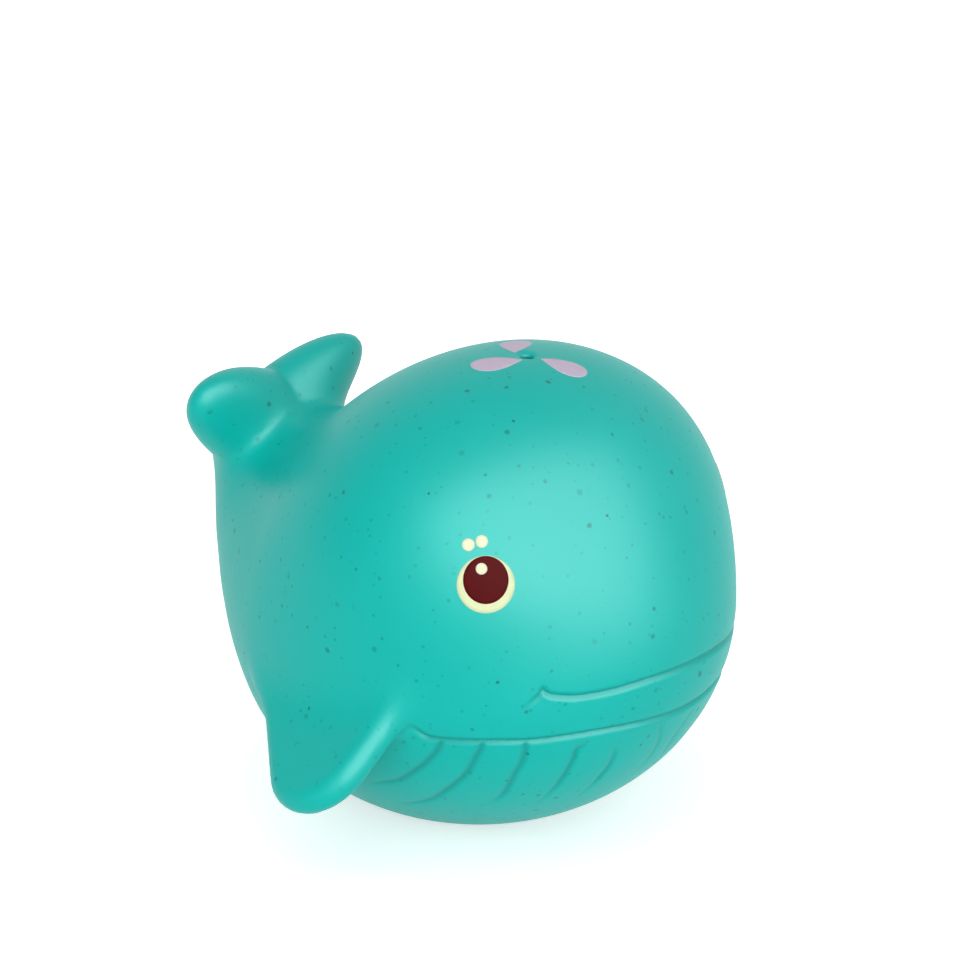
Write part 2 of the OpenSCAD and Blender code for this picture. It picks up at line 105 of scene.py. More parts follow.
def round_cone(p, a, b, ra, rb):
    """Distance to the skin of two balls and the cone that joins them."""
    ab = b - a
    len2 = ab @ ab
    dr = ra - rb
    side2 = len2 - dr * dr
    ap = p - a
    y = ap @ ab
    z = y - len2
    x2 = ((ap * len2 - y[:, None] * ab) ** 2).sum(1)
    y2, z2 = y * y * len2, z * z * len2
    k = np.sign(dr) * dr * dr * x2
    side = (np.sqrt(x2 * side2 / len2) + y * dr) / len2 - ra
    low = np.sqrt(x2 + y2) / len2 - ra
    high = np.sqrt(x2 + z2) / len2 - rb
    return np.where(np.sign(z) * side2 * z2 > k, high, np.where(np.sign(y) * side2 * y2 < k, low, side))


def melt(a, b, soft):
    """The smaller of two distances, with a soft fillet."""
    h = np.maximum(soft - np.abs(a - b), 0) / soft
    return np.minimum(a, b) - h * h * soft / 4


def cut(a, b, soft):
    """Shape a without shape b, with a soft edge."""
    return -melt(-a, b, soft)


def on_left(p):
    """Points mirrored to the whale's left side."""
    q = p.copy()
    q[:, 1] = np.abs(q[:, 1])
    return q


def on_right(p):
    """Points mirrored to the whale's right side."""
    q = p.copy()
    q[:, 1] = -np.abs(q[:, 1])
    return q


def from_middle(p):
    """Distance from the upright line through the base's middle."""
    return np.hypot(p[:, 0], p[:, 1])


def from_blowhole(p):
    """Distance from the upright line through the blowhole."""
    return np.hypot(p[:, 0] - BLOW_FWD, p[:, 1])


def trunk(p):
    """Head, belly and rump."""
    front = melt(egg(p, HEAD_AT, HEAD_HALF), egg(p, BELLY_AT, BELLY_HALF), BELLY_BLEND)
    return melt(front, round_cone(p, RUMP_AT, HIP_AT, RUMP_R, HIP_R), RUMP_BLEND)


def tail_root(p):
    return round_cone(p, HIP_AT, TAIL_AT, HIP_R, TAIL_R)


def flukes(p):
    s = on_left(p) - FLUKE_AT
    x = s[:, 0] * math.cos(FLUKE_LEAN) - s[:, 2] * math.sin(FLUKE_LEAN)
    rise = s[:, 0] * math.sin(FLUKE_LEAN) + s[:, 2] * math.cos(FLUKE_LEAN)
    y = s[:, 1] * math.cos(FLUKE_RAISE) + rise * math.sin(FLUKE_RAISE)
    z = rise * math.cos(FLUKE_RAISE) - s[:, 1] * math.sin(FLUKE_RAISE)
    return egg(np.stack([x, y, z], 1), np.zeros(3), FLUKE_HALF)


def fins(p):
    """Distance to the fins, and how far below each fin's middle plane a point lies."""
    along = (FIN_REAR - FIN_FRONT) / np.linalg.norm(FIN_REAR - FIN_FRONT)
    out = np.cross(along, FIN_TIP - FIN_FRONT)
    out /= np.linalg.norm(out)
    down = np.cross(out, along)
    s = on_left(p) - FIN_FRONT
    q = np.stack([s @ along, s @ down], 1)
    spans = [corner - FIN_FRONT for corner in (FIN_FRONT, FIN_REAR, FIN_TIP)]
    corners = [np.array([span @ along, span @ down]) for span in spans]
    sides, gaps = [], []
    for a, b in zip(corners, corners[1:] + corners[:1]):
        e = b - a
        w = q - a
        h = np.clip((w @ e) / (e @ e), 0, 1)
        gaps.append(np.linalg.norm(w - h[:, None] * e, axis=1))
        sides.append(e[0] * w[:, 1] - e[1] * w[:, 0])
    sides = np.stack(sides)
    inside = (sides >= 0).all(0) | (sides <= 0).all(0)
    d = np.where(inside, 0, np.min(gaps, 0))
    below = s @ out
    return np.hypot(np.maximum(d - FIN_ROUND + FIN_HALF, 0), below) - FIN_HALF, below


def whale(p):
    """The whale's outside, before its base is cut flat."""
    tail = melt(tail_root(p), flukes(p), FORK_BLEND)
    fin, below = fins(p)
    soft = FIN_BLEND + (FIN_CREASE - FIN_BLEND) * np.clip(below / (2 * FIN_HALF) + 0.5, 0, 1)
    return melt(melt(trunk(p), tail, TAIL_BLEND), fin, soft)


def moulding(p):
    """The whale with its flat base, its water chamber and its holes."""
    height = p[:, 2]
    base_r = from_middle(p)
    chamber = melt(trunk(p), tail_root(p), TAIL_BLEND) + WALL
    chamber = np.maximum(chamber, WALL + FLANGE_TOP - height)
    chamber = np.maximum(chamber, -np.maximum(base_r - COLLAR_R, height - COLLAR_HEIGHT))
    ball_r = (DIMPLE_R**2 + DIMPLE_DEPTH**2) / 2 / DIMPLE_DEPTH
    dimple = np.linalg.norm(p - [BLOW_FWD, 0, BLOW_TOP - DIMPLE_DEPTH + ball_r], axis=1) - ball_r
    blow = np.maximum(from_blowhole(p) - BLOW_R, HEAD_AT[2] + HEAD_HALF[2] / 2 - height)
    seat = np.maximum(base_r - SEAT_R, height - COLLAR_HEIGHT - WALL)
    recess = np.maximum(base_r - FLANGE_SEAT_R, height - FLANGE_TOP)
    solid = cut(cut(whale(p), height, BASE_SOFT), dimple, DIMPLE_SOFT)
    return cut(solid, np.minimum(np.minimum(chamber, blow), np.minimum(seat, recess)), HOLE_SOFT)


def slope(p, shape):
    step = 0.02
    sides = [shape(p + step * np.eye(3)[i]) - shape(p - step * np.eye(3)[i]) for i in range(3)]
    return np.stack(sides, 1) / 2 / step


def outward(p, shape):
    """The direction straight out of a shape at each point."""
    g = slope(p, shape)
    return g / np.maximum(np.linalg.norm(g, axis=1), 1e-9)[:, None]


def settled(p, shape, rounds=3):
    """Points moved onto a shape's skin, by 1 mm at most in each round."""
    for _ in range(rounds):
        g = slope(p, shape)
        move = g * (shape(p) / np.maximum((g * g).sum(1), 1e-3))[:, None]
        p = p - move * np.minimum(1, 1.0 / np.maximum(np.linalg.norm(move, axis=1), 1e-9))[:, None]
    return p


def laid(p, direction, level):
    """Points moved along one direction until they lie level above the whale's skin."""
    step = 0.05
    for _ in range(6):
        o = whale(p) - level
        rate = (whale(p + direction * step) - level - o) / step
        p = p - direction * (o / rate)[:, None]
    return p


BLOW_TOP = laid(np.array([[BLOW_FWD, 0, HEAD_AT[2] + HEAD_HALF[2]]]), np.array([0, 0, 1.0]), 0)[0, 2]


# Meshes
def cell_numbers(inside):
    """A number for each cell of a grid that the skin crosses, and -1 for the others."""
    last = np.array(inside.shape) - 1
    corners = sum(
        inside[a : last[0] + a, b : last[1] + b, c : last[2] + c].astype(int)
        for a in (0, 1) for b in (0, 1) for c in (0, 1))
    crossed = (corners > 0) & (corners < 8)
    number = np.full(crossed.shape, -1)
    number[crossed] = np.arange(crossed.sum())
    return number


def edge_crossings(values, grid, axis, cell):
    """Which of the grid's edges along one axis the skin crosses, where, and which edges start outside it."""
    first, second = [slice(None)] * 3, [slice(None)] * 3
    first[axis], second[axis] = slice(0, -1), slice(1, None)
    a, b = values[tuple(first)], values[tuple(second)]
    cross = (a < 0) != (b < 0)
    place = grid[tuple(first)].copy()
    place[..., axis] += cell * np.where(cross, a / np.where(cross, a - b, 1), 0)
    return cross, place * cross[..., None], a >= 0


def cells_round(cross, outside, number, u, w):
    """The four cells round each crossed edge, in the order that makes their quad face outwards."""
    last = np.array(cross.shape) - 1
    at = np.argwhere(cross)
    at = at[(at[:, u] > 0) & (at[:, w] > 0) & (at[:, u] < last[u]) & (at[:, w] < last[w])]
    ring = []
    for du, dw in ((-1, -1), (0, -1), (0, 0), (-1, 0)):
        c = at.copy()
        c[:, u] += du
        c[:, w] += dw
        ring.append(number[tuple(c.T)])
    ring = np.stack(ring, 1)
    turned = outside[tuple(at.T)]
    ring[turned] = ring[turned][:, ::-1]
    return ring


def skin_net(shape, low, high, cell):
    """Points and quads of a closed skin where shape is zero: one point for each grid cell that it crosses."""
    axes = [np.arange(a, b + cell, cell) for a, b in zip(low, high)]
    grid = np.stack(np.meshgrid(*axes, indexing="ij"), -1)
    parts = np.array_split(grid.reshape(-1, 3), 24)
    values = np.concatenate([shape(part) for part in parts]).reshape(grid.shape[:3])
    last = np.array(values.shape) - 1
    number = cell_numbers(values < 0)
    total = np.zeros(number.shape + (3,))
    hits = np.zeros(number.shape)
    quads = []
    for axis in range(3):
        u, w = (axis + 1) % 3, (axis + 2) % 3
        cross, place, outside = edge_crossings(values, grid, axis, cell)
        for du, dw in ((0, 0), (0, 1), (1, 0), (1, 1)):
            part = [slice(None)] * 3
            part[u] = slice(du, last[u] + du)
            part[w] = slice(dw, last[w] + dw)
            total += place[tuple(part)]
            hits += cross[tuple(part)]
        quads.append(cells_round(cross, outside, number, u, w))
    crossed = number >= 0
    return total[crossed] / hits[crossed][:, None], np.concatenate(quads)


def mesh_piece(name, points_mm, faces):
    mesh = bpy.data.meshes.new(name)
    mesh.from_pydata((np.asarray(points_mm) * MM).tolist(), [], [list(map(int, f)) for f in faces])
    mesh.validate()
    obj = bpy.data.objects.new(name, mesh)
    bpy.context.scene.collection.objects.link(obj)
    return obj


def smooth(obj):
    obj.data.polygons.foreach_set("use_smooth", [True] * len(obj.data.polygons))
    obj.data.update()


def apply_modifiers(obj):
    """Gives an object the plain mesh that its modifiers make."""
    mesh = bpy.data.meshes.new_from_object(obj.evaluated_get(bpy.context.evaluated_depsgraph_get()))
    obj.modifiers.clear()
    obj.data = mesh


# Carved lines on the right side: points, each with its share of the line's depth. The left mirrors them.
MOUTH = [
    (35.2, -23.3, 32.0, 1.0), (35.7, -22.6, 31.35, 1.0), (36.3, -21.85, 31.05, 1.0),
    (37.2, -20.75, 30.8, 1.0), (38.1, -19.4, 30.6, 1.0), (39.2, -17.7, 30.6, 1.0),
    (41.0, -14.3, 30.75, 1.0), (43.1, -8.6, 31.2, 1.0), (44.1, -2.9, 31.3, 1.0), (44.2, 0.0, 31.3, 1.0)]
MOUTH_TICK_UP = [(35.2, -23.3, 32.0, 1.0), (35.2, -23.3, 33.1, 0.1)]
MOUTH_TICK_BACK = [(35.2, -23.3, 32.0, 1.0), (34.6, -23.8, 31.0, 0.8), (33.3, -24.8, 29.5, 0.2)]
BELLY_LINE = [
    (17.9, -32.9, 25.0, 0.3), (18.8, -32.1, 24.1, 0.8), (19.7, -31.25, 23.4, 1.0), (21.1, -30.6, 23.2, 1.0),
    (23.1, -29.7, 23.2, 1.0), (25.3, -28.6, 23.3, 1.0), (28.1, -26.95, 23.45, 1.0), (30.7, -25.05, 23.5, 1.0),
    (33.6, -22.4, 23.6, 1.0), (36.4, -19.25, 23.9, 1.0), (39.1, -14.95, 24.1, 1.0), (41.2, -9.7, 24.0, 1.0),
    (42.3, -3.5, 23.75, 1.0), (42.4, 0.0, 23.7, 1.0)]
PLEATS = [
    [(21.7, -30.1, 22.7, 1.0), (21.0, -29.9, 21.4, 1.0), (19.9, -29.7, 20.1, 1.0), (18.3, -29.5, 18.5, 1.0),
     (16.5, -29.2, 17.0, 1.0), (12.45, -28.4, 14.05, 0.8), (8.9, -28.0, 12.5, 0.45), (5.0, -27.3, 11.1, 0.1)],
    [(27.2, -27.4, 23.0, 1.0), (26.7, -27.2, 21.9, 1.0), (25.95, -27.1, 20.8, 1.0), (24.6, -26.7, 18.7, 1.0),
     (23.0, -26.3, 16.65, 1.0), (19.4, -25.6, 13.4, 1.0), (14.6, -24.4, 10.0, 0.8), (8.3, -23.6, 7.5, 0.1)],
    [(32.1, -23.5, 22.8, 1.0), (31.9, -23.2, 21.9, 1.0), (31.5, -23.0, 21.0, 1.0), (30.6, -22.6, 19.1, 1.0),
     (29.4, -22.4, 17.5, 1.0), (26.2, -21.05, 13.05, 0.9), (23.5, -20.55, 10.75, 0.2)],
    [(37.2, -16.45, 21.8, 0.7), (36.7, -17.0, 21.4, 0.9), (36.3, -17.0, 20.7, 1.0), (35.8, -16.8, 19.6, 1.0),
     (34.9, -16.6, 18.1, 1.0), (33.5, -16.3, 16.0, 1.0), (31.8, -16.0, 13.9, 0.8), (28.1, -15.5, 10.3, 0.1)],
    [(39.0, -11.2, 20.3, 0.2), (38.5, -10.7, 18.85, 0.7), (37.2, -10.2, 16.6, 0.9), (36.1, -10.2, 15.2, 0.9),
     (35.0, -10.3, 14.05, 0.7), (31.4, -10.2, 10.3, 0.1)],
    [(42.1, -4.6, 23.2, 0.15), (41.5, -3.5, 21.5, 0.35), (40.6, -2.5, 19.3, 0.45), (39.4, -2.0, 17.1, 0.5),
     (38.2, -2.1, 15.4, 0.4), (36.5, -2.9, 13.4, 0.1)]]

# Depth, half width, soft shoulder and lower lip of each kind of line
MOUTH_CUT = (0.5, 0.42, 0.08, 0.04)
TICK_UP_CUT = (0.35, 0.4, 0.04, 0)
TICK_BACK_CUT = (0.38, 0.42, 0.04, 0)
BELLY_LINE_CUT = (0.48, 0.44, 0.1, 0.05)
PLEAT_CUT = (0.26, 0.46, 0.06, 0)
# The shoulder's width, its strength below a line with a lip, the painted shade band's width and the lip's
# distance, with the widths and the distance in half widths of the line
SHOULDER_WIDTH, SHOULDER_BELOW, SHADE_BAND_WIDTH, LIP_AWAY = 4, 0.45, 1.1, 2.1


def traced(line):
    """A carved line as close points on the skin, on a smooth curve, with a depth share for each."""
    table = np.array(line, float)
    at, share = table[:, :3], table[:, 3]
    fine = np.linspace(0, len(at) - 1, 12 * (len(at) - 1) + 1)
    padded = np.vstack([2 * at[0] - at[1], at, 2 * at[-1] - at[-2]])
    i = np.minimum(fine.astype(int), len(at) - 2)
    f = (fine - i)[:, None]
    a, b, c, d = padded[i], padded[i + 1], padded[i + 2], padded[i + 3]
    second, third = 2 * a - 5 * b + 4 * c - d, 3 * b - a - 3 * c + d
    curve = 0.5 * (2 * b + (c - a) * f + second * f**2 + third * f**3)
    return settled(curve, whale), np.interp(fine, np.arange(len(at)), share)


CARVINGS = [traced(line) + sizes for line, sizes in [
    (MOUTH, MOUTH_CUT), (MOUTH_TICK_UP, TICK_UP_CUT), (MOUTH_TICK_BACK, TICK_BACK_CUT),
    (BELLY_LINE, BELLY_LINE_CUT)] + [(pleat, PLEAT_CUT) for pleat in PLEATS]]


def near_line(p, line, share):
    """Distance from points to a line, the line's nearest point, and the depth share there."""
    best = np.full(len(p), 1e9)
    spot = np.zeros_like(p)
    strength = np.zeros(len(p))
    for a, b, sa, sb in zip(line[:-1], line[1:], share[:-1], share[1:]):
        e = b - a
        h = np.clip(((p - a) @ e) / (e @ e), 0, 1)
        q = a + h[:, None] * e
        d = np.linalg.norm(p - q, axis=1)
        closer = d < best
        best = np.where(closer, d, best)
        spot[closer] = q[closer]
        strength = np.where(closer, sa + h * (sb - sa), strength)
    return best, spot, strength


def close_to(p, points, margin):
    """Which points lie in the box round a line, with a margin."""
    return ((p > points.min(0) - margin) & (p < points.max(0) + margin)).all(1)


def bell(x):
    return np.exp(-(x**2))


def carved_depth(p):
    """How far the carved lines sink each point of the skin, and how much painted shade darkens it near a
    line, from 0 to 1.
    """
    sink, dark, rise = np.zeros(len(p)), np.zeros(len(p)), np.zeros(len(p))
    q = on_right(p)
    for points, share, depth, width, shoulder, lip in CARVINGS:
        box = close_to(q, points, margin=7)
        if not box.any():
            continue
        d, spot, strength = near_line(q[box], points, share)
        above = q[box][:, 2] - spot[:, 2]
        side = np.where(above > 0, 1.0, SHOULDER_BELOW) if lip else 1.0
        here = strength * (depth * bell(d / width) + shoulder * side * bell(d / (SHOULDER_WIDTH * width)))
        sink[box] = np.maximum(sink[box], here)
        # Painted shade: a band along each line, in which the colour darkens
        dark[box] = np.maximum(dark[box], strength * bell(d / width / SHADE_BAND_WIDTH))
        if lip:
            rise[box] += strength * lip * bell((d - LIP_AWAY * width) / width) * (above < 0)
    return sink - rise, dark


def carving_gap(p):
    """Distance from each point to the nearest carved line, where one is close."""
    q = on_right(p)
    gap = np.full(len(p), 1e9)
    for points, share, *_ in CARVINGS:
        box = close_to(q, points, margin=3)
        if box.any():
            gap[box] = np.minimum(gap[box], near_line(q[box], points, share)[0])
    return gap


def needs_detail(p, reach):
    """Whether each point lies near a carved line, the blowhole or an edge of the base."""
    height = p[:, 2]
    near = carving_gap(p) < reach
    near |= (from_blowhole(p) < BLOW_DETAIL_R + reach) & (height > BLOW_TOP - BLOW_DETAIL_DEPTH)
    near |= (np.abs(from_middle(p) - FLANGE_SEAT_R) < reach) & (height < FLANGE_TOP + reach)
    near |= (np.abs(height) < reach) & (np.abs(whale(p)) < 1.5 * reach)
    return near


def places(verts):
    """Where a mesh's points are, in millimetres."""
    return np.array([v.co for v in verts]) / MM


def refine(obj):
    """Adds points where the skin needs detail, and settles all of them on the moulding."""
    bm = bmesh.new()
    bm.from_mesh(obj.data)
    for reach in DETAIL_REACHES:
        bm.verts.ensure_lookup_table()
        near = needs_detail(places(bm.verts), reach)
        edges = [e for e in bm.edges if near[e.verts[0].index] and near[e.verts[1].index]]
        bmesh.ops.subdivide_edges(bm, edges=edges, cuts=1, use_grid_fill=True)
        bm.verts.index_update()
        bm.verts.ensure_lookup_table()
        at = settled(places(bm.verts), moulding, 2)
        for v, c in zip(bm.verts, at * MM):
            v.co = c
    bmesh.ops.triangulate(bm, faces=[f for f in bm.faces if len(f.verts) > 4])
    bm.to_mesh(obj.data)
    bm.free()


def carve(obj):
    """Sinks the carved lines into the outside and marks each point with the painted shade of the lines, from
    0 to 1.
    """
    at = places(obj.data.vertices)
    skin_band = 0.3
    outside = np.abs(whale(at)) < skin_band
    sink, dark = carved_depth(at)
    at -= outward(at, whale) * (sink * outside)[:, None]
    obj.data.vertices.foreach_set("co", (at * MM).ravel())
    # The painted shade of the carved lines, which the vinyl reads as a darker colour
    crease = obj.data.attributes.new("crease", "FLOAT", "POINT")
    crease.data.foreach_set("value", (dark * outside).astype(np.float32))
    return at


def thin_chamber(obj, at):
    """Takes faces from the chamber's wall, which is never seen, but none near the holes."""
    inner = (whale(at) < -CHAMBER_DEPTH) & (at[:, 2] > WALL)
    inner &= (from_blowhole(at) > 3 * BLOW_R) & (from_middle(at) > SEAT_R + 0.5)
    inner_faces = sum(all(inner[i] for i in f.vertices) for f in obj.data.polygons)
    obj.vertex_groups.new(name="chamber").add(np.nonzero(inner)[0].tolist(), 1.0, "REPLACE")
    thin = obj.modifiers.new("thin", "DECIMATE")
    thin.vertex_group = "chamber"
    thin.ratio = 1 - CHAMBER_THINNING * inner_faces / len(obj.data.polygons)
    apply_modifiers(obj)
    obj.vertex_groups.clear()


def build_whale_body():
    points, quads = skin_net(moulding, NET_LOW, NET_HIGH, NET_CELL)
    obj = mesh_piece("whale_skin", settled(points, moulding), quads)
    refine(obj)
    thin_chamber(obj, carve(obj))
    smooth(obj)
    return obj


def oval(width, height, points, shift=(0, 0)):
    """An oval outline, shifted from the middle of the eye."""
    t = np.arange(points) * 2 * math.pi / points
    return np.stack([width / 2 * np.cos(t) + shift[0], height / 2 * np.sin(t) + shift[1]], 1)


def film_points(outline, middle, centre, a, b, level, rings):
    """The closed thin film that an outline leaves when it is laid on the whale's skin."""
    count = len(outline)
    shares = np.linspace(0, 1, rings + 1)[1:]
    flat = np.vstack([[middle]] + [middle + (outline - middle) * s for s in shares])
    start = centre + flat[:, :1] * a + flat[:, 1:] * b
    across = np.cross(a, b)
    # The upper side rounds off towards the edge
    drop = np.concatenate([[0], np.repeat([0.0] * (rings - 1) + [FILM / 2], count)])
    low = laid(start, across, level)
    high = laid(start, across, level + FILM - drop)
    top = len(flat)
    edge = 1 + (rings - 1) * count
    faces = []
    for i in range(count):
        j = (i + 1) % count
        faces.append((top, top + 1 + i, top + 1 + j))
        faces.append((0, 1 + j, 1 + i))
        for inner in range(1, edge, count):
            outer = inner + count
            faces.append((top + inner + i, top + outer + i, top + outer + j, top + inner + j))
            faces.append((inner + j, outer + j, outer + i, inner + i))
        faces.append((edge + i, edge + j, top + edge + j, top + edge + i))
    return np.vstack([low, high]), faces


def eye_frame():
    """The right eye's middle on the skin, and the directions forwards and upwards there."""
    at = laid(np.array([[EYE_FWD, -HEAD_HALF[1], EYE_UP]]), np.array([0, -1.0, 0]), 0)
    out = outward(at, whale)[0]
    forward = np.array([-out[1], out[0], 0]) / np.hypot(out[0], out[1])
    return at[0], forward, np.cross(out, forward)


def build_print(name, outlines, level, rings):
    """One printed film for the right eye and its mirror for the left."""
    centre, forward, upward = eye_frame()
    points, faces = np.zeros((0, 3)), []
    for outline in outlines:
        film, film_faces = film_points(outline, outline.mean(0), centre, forward, upward, level, rings)
        faces += [tuple(i + len(points) for i in face) for face in film_faces]
        points = np.vstack([points, film])
    pieces = [
        mesh_piece(f"right_{name}_film", points, faces),
        mesh_piece(f"left_{name}_film", points * [1, -1, 1], [face[::-1] for face in faces])]
    for piece in pieces:
        smooth(piece)
    return pieces


def new_tree(name, kind, inputs, outputs):
    """A node tree with its sockets. Each socket is a name and a kind, and an input may have a first value."""
    tree = bpy.data.node_groups.new(name, kind)
    for socket_name, socket_kind in outputs:
        tree.interface.new_socket(name=socket_name, in_out="OUTPUT", socket_type=socket_kind)
    for socket_name, socket_kind, *value in inputs:
        socket = tree.interface.new_socket(name=socket_name, in_out="INPUT", socket_type=socket_kind)
        if value:
            socket.default_value = value[0]
    return tree


def set_input(modifier, tree, name, value):
    """Sets a modifier's input by the identifier of its socket."""
    for item in tree.interface.items_tree:
        if item.item_type == "SOCKET" and item.in_out == "INPUT" and item.name == name:
            modifier[item.identifier] = value


class Nodes:
    """Adds nodes to a tree and joins them."""

    def __init__(self, tree):
        self.tree = tree

    def add(self, kind, inputs=None, **settings):
        """A node with its settings, and with a value or another node's output in each input."""
        node = self.tree.nodes.new(kind)
        for key, value in settings.items():
            setattr(node, key, value)
        for key, value in (inputs or {}).items():
            if isinstance(value, bpy.types.NodeSocket):
                self.tree.links.new(value, node.inputs[key])
            else:
                node.inputs[key].default_value = value
        return node

    def math(self, operation, a, b=0.0, clamp=False):
        return self.add("ShaderNodeMath", {0: a, 1: b}, operation=operation, use_clamp=clamp).outputs[0]

    def times(self, a, b):
        return self.math("MULTIPLY", a, b)

    def vector_math(self, operation, a, b):
        return self.add("ShaderNodeVectorMath", {0: a, 1: b}, operation=operation).outputs[0]

    def scaled(self, a, factor):
        return self.add("ShaderNodeVectorMath", {0: a, "Scale": factor}, operation="SCALE").outputs[0]

    def vector(self, **parts):
        return self.add("ShaderNodeCombineXYZ", parts).outputs[0]

    def noise(self, at, scale, detail):
        return self.add("ShaderNodeTexNoise", {"Vector": at, "Scale": scale, "Detail": detail})

    def mixed_vector(self, share, a, b):
        """A mix node's sockets 4 and 5 are its two vectors, and output 1 is their mix."""
        return self.add("ShaderNodeMix", {"Factor": share, 4: a, 5: b}, data_type="VECTOR").outputs[1]

    def mixed_colour(self, share, a, b):
        """A mix node's sockets 6 and 7 are its two colours, and output 2 is their mix."""
        return self.add("ShaderNodeMix", {"Factor": share, 6: a, 7: b}, data_type="RGBA").outputs[2]

    def joined(self, *shapes):
        node = self.add("GeometryNodeJoinGeometry")
        for shape in shapes:
            self.tree.links.new(shape, node.inputs[0])
        return node.outputs[0]


def flat_petal(n, given, length):
    """A flat drop with its point at the origin and its end on the X axis, made from a sheet of rings."""
    rings, spokes = 9, 73
    sheet = n.add(
        "GeometryNodeMeshGrid", {"Size X": 1.0, "Size Y": 1.0, "Vertices X": rings, "Vertices Y": spokes})
    place = n.add("ShaderNodeSeparateXYZ", {0: n.add("GeometryNodeInputPosition").outputs[0]})
    share = n.math("ADD", place.outputs["X"], 0.5)
    angle = n.times(n.math("ADD", place.outputs["Y"], 0.5), 2 * math.pi)
    along = n.times(n.math("SUBTRACT", 1.0, n.math("COSINE", angle)), 0.5)
    bow = n.times(given["Bow"], n.math("SINE", n.times(along, math.pi)))
    swell = n.times(n.math("SINE", angle), n.math("SINE", n.times(angle, 0.5)))
    most_swell = 4 / 9 * math.sqrt(3)
    half = n.times(given["Width"], n.times(swell, 0.5 / most_swell))
    edge = n.vector(X=n.times(length, along), Y=n.math("ADD", half, bow))
    # The rings gather near the drop's widest place
    gather, bow_there = 0.62, 0.9
    middle = n.vector(X=n.times(length, gather), Y=n.times(given["Bow"], bow_there))
    drop = n.add("GeometryNodeSetPosition", {
        "Geometry": sheet.outputs["Mesh"], "Position": n.mixed_vector(share, middle, edge)})
    return n.add("GeometryNodeMergeByDistance", {"Geometry": drop.outputs[0], "Distance": 1e-6}).outputs[0]


def closed_film(n, sheet, thick):
    """A sheet of faces given a thickness, as one closed smooth film."""
    raised = n.add("GeometryNodeExtrudeMesh", {"Mesh": sheet, "Offset Scale": thick, "Individual": False})
    under = n.add("GeometryNodeFlipFaces", {"Mesh": sheet})
    both = n.joined(raised.outputs["Mesh"], under.outputs["Mesh"])
    closed = n.add("GeometryNodeMergeByDistance", {"Geometry": both, "Distance": 1e-6})
    return n.add("GeometryNodeSetShadeSmooth", {"Geometry": closed.outputs[0]}).outputs[0]


def petal_tree(material):
    """One petal, made flat by the blowhole, dropped onto the skin and added to those before it."""
    sizes = (
        ("Point away", PETAL_START * MM), ("Point turn", 0.0),
        ("End away", PETAL_REACH * MM), ("End turn", 0.0),
        ("Width", PETAL_WIDTH * MM), ("Bow", PETAL_BOW * MM), ("Forward", BLOW_FWD * MM),
        ("Gap", FILM_GAP * MM), ("Film", FILM * MM))
    tree = new_tree(
        "petal_by_the_blowhole", "GeometryNodeTree",
        [("Petals before", "NodeSocketGeometry"), ("Skin", "NodeSocketObject")]
        + [(name, "NodeSocketFloat", value) for name, value in sizes],
        [("Petals", "NodeSocketGeometry")])
    n = Nodes(tree)
    given = n.add("NodeGroupInput").outputs

    def polar(away, turn):
        return n.vector(X=n.times(away, n.math("COSINE", turn)), Y=n.times(away, n.math("SINE", turn)))

    point = polar(given["Point away"], given["Point turn"])
    end = polar(given["End away"], given["End turn"])
    span = n.vector_math("SUBTRACT", end, point)
    length = n.add("ShaderNodeVectorMath", {0: span}, operation="LENGTH").outputs["Value"]
    sides = n.add("ShaderNodeSeparateXYZ", {0: span}).outputs
    # Turned to its end and held well over the head
    over = n.add("GeometryNodeTransform", {
        "Geometry": flat_petal(n, given, length),
        "Rotation": n.vector(Z=n.math("ARCTAN2", sides["Y"], sides["X"])),
        "Translation": n.vector_math("ADD", point, n.vector(X=given["Forward"], Z=0.1))})
    skin = n.add("GeometryNodeObjectInfo", {"Object": given["Skin"]})
    fall = n.add("GeometryNodeRaycast", {
        "Target Geometry": skin.outputs["Geometry"], "Ray Direction": (0.0, 0.0, -1.0), "Ray Length": 1.0})
    lift = n.scaled(fall.outputs["Hit Normal"], given["Gap"])
    seated = n.vector_math("ADD", fall.outputs["Hit Position"], lift)
    lower = n.add("GeometryNodeSetPosition", {"Geometry": over.outputs[0], "Position": seated})
    film = closed_film(n, lower.outputs[0], given["Film"])
    whole = n.add("GeometryNodeRealizeInstances", {"Geometry": n.joined(film, given["Petals before"])})
    shown = n.add("GeometryNodeSetMaterial", {"Geometry": whole.outputs[0], "Material": material})
    n.add("NodeGroupOutput", {0: shown.outputs[0]})
    return tree


def build_petals(skin, material):
    tree = petal_tree(material)
    obj = bpy.data.objects.new("blowhole_petal_films", bpy.data.meshes.new("petal_start"))
    bpy.context.scene.collection.objects.link(obj)
    for point_turn, end_turn, bow_side in PETAL_TURNS:
        grown = obj.modifiers.new("petal", "NODES")
        grown.node_group = tree
        set_input(grown, tree, "Skin", skin)
        set_input(grown, tree, "Point turn", math.radians(point_turn))
        set_input(grown, tree, "End turn", math.radians(end_turn))
        set_input(grown, tree, "Bow", bow_side * PETAL_BOW * MM)
    bpy.context.view_layer.update()
    apply_modifiers(obj)
    obj.data.materials.clear()
    obj.data.materials.append(material)
    return obj


def float_sockets(*names):
    return [(name, "NodeSocketFloat") for name in names]


